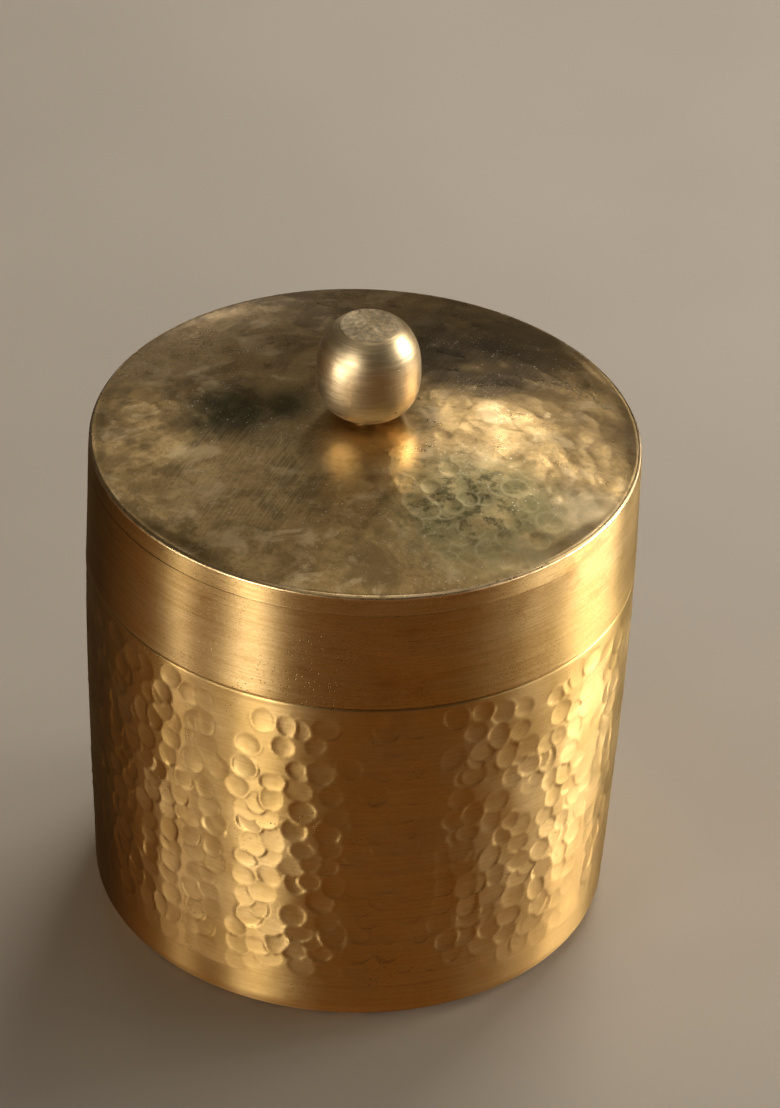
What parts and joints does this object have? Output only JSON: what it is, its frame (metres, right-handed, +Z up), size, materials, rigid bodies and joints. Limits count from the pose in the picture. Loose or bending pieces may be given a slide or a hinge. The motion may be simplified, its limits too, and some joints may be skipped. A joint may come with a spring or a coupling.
{
  "type": "spice box",
  "caption": "Round hammered brass spice box with a slip-on domed lid, a ball knob, tall spice cups and a small spoon inside.",
  "frame": {"origin": "centre of the flat underside, on the surface it stands on", "axes": "+Z up along the axis of the drum and the knob, -Y towards the front of the view"},
  "size_m": [0.1, 0.1, 0.1208],
  "materials": {
    "hammered_brass": "hand-hammered, aged satin",
    "satin_brass": "smooth satin, slightly aged",
    "turned_brass": "fine lathe-turned satin with small pits",
    "planished_brass": "planished and worn satin with greenish-grey tarnish",
    "knob_brass": "lathe-turned satin, with a scratched flat on top",
    "collar_brass": "fine turned satin, cleaner than the outside",
    "cup_brass": "spun satin",
    "spoon_brass": "brushed satin",
    "braze": "cast brazing alloy, dull",
    "screw_steel": "plain zinc-grey steel"
  },
  "bodies": {
    "drum": {"body_wall": "hammered_brass", "base_pan": "satin_brass", "base_braze": "braze", "neck_collar": "collar_brass", "collar_braze": "braze"},
    "lid": {"lid_cap": "planished_brass", "lid_band": "turned_brass", "lid_braze": "braze", "knob": "knob_brass", "knob_screw": "screw_steel", "knob_washer": "screw_steel"},
    "centre_cup": {"centre_cup": "cup_brass"},
    "cup_1": {"cup_1": "cup_brass"},
    "cup_2": {"cup_2": "cup_brass"},
    "cup_3": {"cup_3": "cup_brass"},
    "cup_4": {"cup_4": "cup_brass"},
    "cup_5": {"cup_5": "cup_brass"},
    "cup_6": {"cup_6": "cup_brass"},
    "spoon": {"spoon_bowl": "spoon_brass", "spoon_handle": "spoon_brass"}
  },
  "joints": [
    {"name": "lid_lift", "type": "slide", "parent": "drum", "child": "lid", "axis": [0, 0, 1], "range_m": [0, 0.22]},
    {"name": "spoon_lift", "type": "slide", "parent": "drum", "child": "spoon", "axis": [0, 0, 1], "range_m": [0, 0.17]},
    {"name": "centre_cup_lift", "type": "slide", "parent": "drum", "child": "centre_cup", "axis": [0, 0, 1], "range_m": [0, 0.13]},
    {"name": "cup_1_lift", "type": "slide", "parent": "drum", "child": "cup_1", "axis": [0, 0, 1], "range_m": [0, 0.11]},
    {"name": "cup_2_lift", "type": "slide", "parent": "drum", "child": "cup_2", "axis": [0, 0, 1], "range_m": [0, 0.11]},
    {"name": "cup_3_lift", "type": "slide", "parent": "drum", "child": "cup_3", "axis": [0, 0, 1], "range_m": [0, 0.11]},
    {"name": "cup_4_lift", "type": "slide", "parent": "drum", "child": "cup_4", "axis": [0, 0, 1], "range_m": [0, 0.11]},
    {"name": "cup_5_lift", "type": "slide", "parent": "drum", "child": "cup_5", "axis": [0, 0, 1], "range_m": [0, 0.11]},
    {"name": "cup_6_lift", "type": "slide", "parent": "drum", "child": "cup_6", "axis": [0, 0, 1], "range_m": [0, 0.11]}
  ],
  "couplings": [
    {"joint": "spoon_lift", "follows": "lid_lift", "ratio": 0.75},
    {"joint": "centre_cup_lift", "follows": "lid_lift", "ratio": 0.56},
    {"joint": "cup_1_lift", "follows": "lid_lift", "ratio": 0.48},
    {"joint": "cup_2_lift", "follows": "lid_lift", "ratio": 0.48},
    {"joint": "cup_3_lift", "follows": "lid_lift", "ratio": 0.48},
    {"joint": "cup_4_lift", "follows": "lid_lift", "ratio": 0.48},
    {"joint": "cup_5_lift", "follows": "lid_lift", "ratio": 0.48},
    {"joint": "cup_6_lift", "follows": "lid_lift", "ratio": 0.48}
  ]
}
